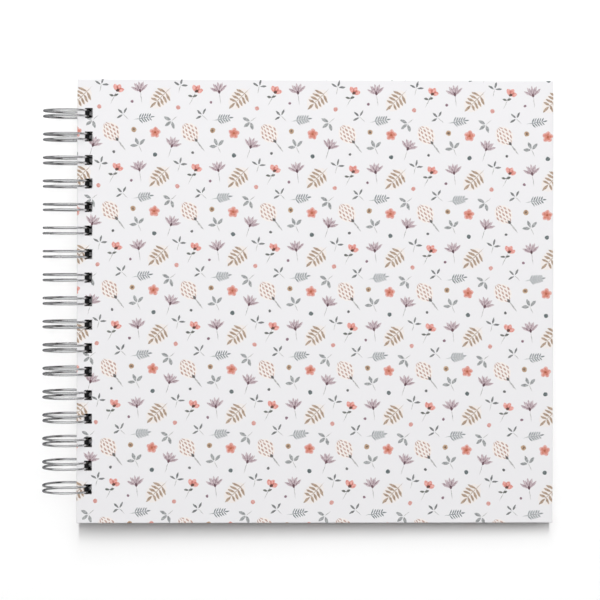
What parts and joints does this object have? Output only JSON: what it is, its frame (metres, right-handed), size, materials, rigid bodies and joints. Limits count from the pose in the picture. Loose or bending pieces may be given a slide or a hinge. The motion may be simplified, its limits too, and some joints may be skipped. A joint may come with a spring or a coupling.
{
  "type": "wire-bound scrapbook album",
  "caption": "Square wire-bound scrapbook album with white floral printed hard covers and black card leaves, all turning on silver twin-loop rings.",
  "frame": {"origin": "centre of the shut album's footprint, level with the lowest point of the rings", "axes": "+X from the rings to the fore edge, +Y from the tail to the head, +Z out of the front cover. The binding's axis is parallel to Y."},
  "size_m": [0.2772, 0.24, 0.0266],
  "materials": {
    "wire": "bright silver plated round wire",
    "cover_paper": "white printed paper with a satin varnish",
    "greyboard": "raw dense greyboard",
    "lining_paper": "matt uncoated white paper",
    "leaf_card": "matt black card"
  },
  "bodies": {
    "back_cover_and_binding": {"wire_binding": "wire", "back_wrap": "cover_paper", "back_board": "greyboard", "back_liner": "lining_paper"},
    "front_cover": {"front_wrap": "cover_paper", "front_board": "greyboard", "front_liner": "lining_paper"},
    "leaf_01_body": {"leaf_01": "leaf_card"},
    "leaf_02_body": {"leaf_02": "leaf_card"},
    "leaf_03_body": {"leaf_03": "leaf_card"},
    "leaf_04_body": {"leaf_04": "leaf_card"},
    "leaf_05_body": {"leaf_05": "leaf_card"},
    "leaf_06_body": {"leaf_06": "leaf_card"},
    "leaf_07_body": {"leaf_07": "leaf_card"},
    "leaf_08_body": {"leaf_08": "leaf_card"},
    "leaf_09_body": {"leaf_09": "leaf_card"},
    "leaf_10_body": {"leaf_10": "leaf_card"},
    "leaf_11_body": {"leaf_11": "leaf_card"},
    "leaf_12_body": {"leaf_12": "leaf_card"},
    "leaf_13_body": {"leaf_13": "leaf_card"},
    "leaf_14_body": {"leaf_14": "leaf_card"},
    "leaf_15_body": {"leaf_15": "leaf_card"},
    "leaf_16_body": {"leaf_16": "leaf_card"},
    "leaf_17_body": {"leaf_17": "leaf_card"},
    "leaf_18_body": {"leaf_18": "leaf_card"},
    "leaf_19_body": {"leaf_19": "leaf_card"},
    "leaf_20_body": {"leaf_20": "leaf_card"},
    "leaf_21_body": {"leaf_21": "leaf_card"},
    "leaf_22_body": {"leaf_22": "leaf_card"},
    "leaf_23_body": {"leaf_23": "leaf_card"},
    "leaf_24_body": {"leaf_24": "leaf_card"},
    "leaf_25_body": {"leaf_25": "leaf_card"}
  },
  "joints": [
    {"name": "front_cover_turn", "type": "hinge", "parent": "back_cover_and_binding", "child": "front_cover", "pos_m": [-0.12526, 0, 0.0133], "axis": [0, -1, 0], "range_deg": [0, 183]},
    {"name": "leaf_01_turn", "type": "hinge", "parent": "back_cover_and_binding", "child": "leaf_01_body", "pos_m": [-0.12526, 0, 0.0133], "axis": [0, -1, 0], "range_deg": [0, 183]},
    {"name": "leaf_02_turn", "type": "hinge", "parent": "back_cover_and_binding", "child": "leaf_02_body", "pos_m": [-0.12526, 0, 0.0133], "axis": [0, -1, 0], "range_deg": [0, 183]},
    {"name": "leaf_03_turn", "type": "hinge", "parent": "back_cover_and_binding", "child": "leaf_03_body", "pos_m": [-0.12526, 0, 0.0133], "axis": [0, -1, 0], "range_deg": [0, 183]},
    {"name": "leaf_04_turn", "type": "hinge", "parent": "back_cover_and_binding", "child": "leaf_04_body", "pos_m": [-0.12526, 0, 0.0133], "axis": [0, -1, 0], "range_deg": [0, 183]},
    {"name": "leaf_05_turn", "type": "hinge", "parent": "back_cover_and_binding", "child": "leaf_05_body", "pos_m": [-0.12526, 0, 0.0133], "axis": [0, -1, 0], "range_deg": [0, 183]},
    {"name": "leaf_06_turn", "type": "hinge", "parent": "back_cover_and_binding", "child": "leaf_06_body", "pos_m": [-0.12526, 0, 0.0133], "axis": [0, -1, 0], "range_deg": [0, 183]},
    {"name": "leaf_07_turn", "type": "hinge", "parent": "back_cover_and_binding", "child": "leaf_07_body", "pos_m": [-0.12526, 0, 0.0133], "axis": [0, -1, 0], "range_deg": [0, 183]},
    {"name": "leaf_08_turn", "type": "hinge", "parent": "back_cover_and_binding", "child": "leaf_08_body", "pos_m": [-0.12526, 0, 0.0133], "axis": [0, -1, 0], "range_deg": [0, 183]},
    {"name": "leaf_09_turn", "type": "hinge", "parent": "back_cover_and_binding", "child": "leaf_09_body", "pos_m": [-0.12526, 0, 0.0133], "axis": [0, -1, 0], "range_deg": [0, 183]},
    {"name": "leaf_10_turn", "type": "hinge", "parent": "back_cover_and_binding", "child": "leaf_10_body", "pos_m": [-0.12526, 0, 0.0133], "axis": [0, -1, 0], "range_deg": [0, 183]},
    {"name": "leaf_11_turn", "type": "hinge", "parent": "back_cover_and_binding", "child": "leaf_11_body", "pos_m": [-0.12526, 0, 0.0133], "axis": [0, -1, 0], "range_deg": [0, 183]},
    {"name": "leaf_12_turn", "type": "hinge", "parent": "back_cover_and_binding", "child": "leaf_12_body", "pos_m": [-0.12526, 0, 0.0133], "axis": [0, -1, 0], "range_deg": [0, 183]},
    {"name": "leaf_13_turn", "type": "hinge", "parent": "back_cover_and_binding", "child": "leaf_13_body", "pos_m": [-0.12526, 0, 0.0133], "axis": [0, -1, 0], "range_deg": [0, 183]},
    {"name": "leaf_14_turn", "type": "hinge", "parent": "back_cover_and_binding", "child": "leaf_14_body", "pos_m": [-0.12526, 0, 0.0133], "axis": [0, -1, 0], "range_deg": [0, 183]},
    {"name": "leaf_15_turn", "type": "hinge", "parent": "back_cover_and_binding", "child": "leaf_15_body", "pos_m": [-0.12526, 0, 0.0133], "axis": [0, -1, 0], "range_deg": [0, 183]},
    {"name": "leaf_16_turn", "type": "hinge", "parent": "back_cover_and_binding", "child": "leaf_16_body", "pos_m": [-0.12526, 0, 0.0133], "axis": [0, -1, 0], "range_deg": [0, 183]},
    {"name": "leaf_17_turn", "type": "hinge", "parent": "back_cover_and_binding", "child": "leaf_17_body", "pos_m": [-0.12526, 0, 0.0133], "axis": [0, -1, 0], "range_deg": [0, 183]},
    {"name": "leaf_18_turn", "type": "hinge", "parent": "back_cover_and_binding", "child": "leaf_18_body", "pos_m": [-0.12526, 0, 0.0133], "axis": [0, -1, 0], "range_deg": [0, 183]},
    {"name": "leaf_19_turn", "type": "hinge", "parent": "back_cover_and_binding", "child": "leaf_19_body", "pos_m": [-0.12526, 0, 0.0133], "axis": [0, -1, 0], "range_deg": [0, 183]},
    {"name": "leaf_20_turn", "type": "hinge", "parent": "back_cover_and_binding", "child": "leaf_20_body", "pos_m": [-0.12526, 0, 0.0133], "axis": [0, -1, 0], "range_deg": [0, 183]},
    {"name": "leaf_21_turn", "type": "hinge", "parent": "back_cover_and_binding", "child": "leaf_21_body", "pos_m": [-0.12526, 0, 0.0133], "axis": [0, -1, 0], "range_deg": [0, 183]},
    {"name": "leaf_22_turn", "type": "hinge", "parent": "back_cover_and_binding", "child": "leaf_22_body", "pos_m": [-0.12526, 0, 0.0133], "axis": [0, -1, 0], "range_deg": [0, 183]},
    {"name": "leaf_23_turn", "type": "hinge", "parent": "back_cover_and_binding", "child": "leaf_23_body", "pos_m": [-0.12526, 0, 0.0133], "axis": [0, -1, 0], "range_deg": [0, 183]},
    {"name": "leaf_24_turn", "type": "hinge", "parent": "back_cover_and_binding", "child": "leaf_24_body", "pos_m": [-0.12526, 0, 0.0133], "axis": [0, -1, 0], "range_deg": [0, 183]},
    {"name": "leaf_25_turn", "type": "hinge", "parent": "back_cover_and_binding", "child": "leaf_25_body", "pos_m": [-0.12526, 0, 0.0133], "axis": [0, -1, 0], "range_deg": [0, 183]}
  ],
  "couplings": [
    {"joint": "leaf_01_turn", "follows": "front_cover_turn", "ratio": 0.999},
    {"joint": "leaf_02_turn", "follows": "front_cover_turn", "ratio": 0.998},
    {"joint": "leaf_03_turn", "follows": "front_cover_turn", "ratio": 0.997},
    {"joint": "leaf_04_turn", "follows": "front_cover_turn", "ratio": 0.996},
    {"joint": "leaf_05_turn", "follows": "front_cover_turn", "ratio": 0.995},
    {"joint": "leaf_06_turn", "follows": "front_cover_turn", "ratio": 0.994},
    {"joint": "leaf_07_turn", "follows": "front_cover_turn", "ratio": 0.993},
    {"joint": "leaf_08_turn", "follows": "front_cover_turn", "ratio": 0.992},
    {"joint": "leaf_09_turn", "follows": "front_cover_turn", "ratio": 0.991},
    {"joint": "leaf_10_turn", "follows": "front_cover_turn", "ratio": 0.99},
    {"joint": "leaf_11_turn", "follows": "front_cover_turn", "ratio": 0.989},
    {"joint": "leaf_12_turn", "follows": "front_cover_turn", "ratio": 0.988},
    {"joint": "leaf_13_turn", "follows": "front_cover_turn", "ratio": 0.987},
    {"joint": "leaf_14_turn", "follows": "front_cover_turn", "ratio": 0.986},
    {"joint": "leaf_15_turn", "follows": "front_cover_turn", "ratio": 0.985},
    {"joint": "leaf_16_turn", "follows": "front_cover_turn", "ratio": 0.984},
    {"joint": "leaf_17_turn", "follows": "front_cover_turn", "ratio": 0.983},
    {"joint": "leaf_18_turn", "follows": "front_cover_turn", "ratio": 0.982},
    {"joint": "leaf_19_turn", "follows": "front_cover_turn", "ratio": 0.981},
    {"joint": "leaf_20_turn", "follows": "front_cover_turn", "ratio": 0.98},
    {"joint": "leaf_21_turn", "follows": "front_cover_turn", "ratio": 0.979},
    {"joint": "leaf_22_turn", "follows": "front_cover_turn", "ratio": 0.978},
    {"joint": "leaf_23_turn", "follows": "front_cover_turn", "ratio": 0.977},
    {"joint": "leaf_24_turn", "follows": "front_cover_turn", "ratio": 0.976},
    {"joint": "leaf_25_turn", "follows": "front_cover_turn", "ratio": 0.975}
  ]
}
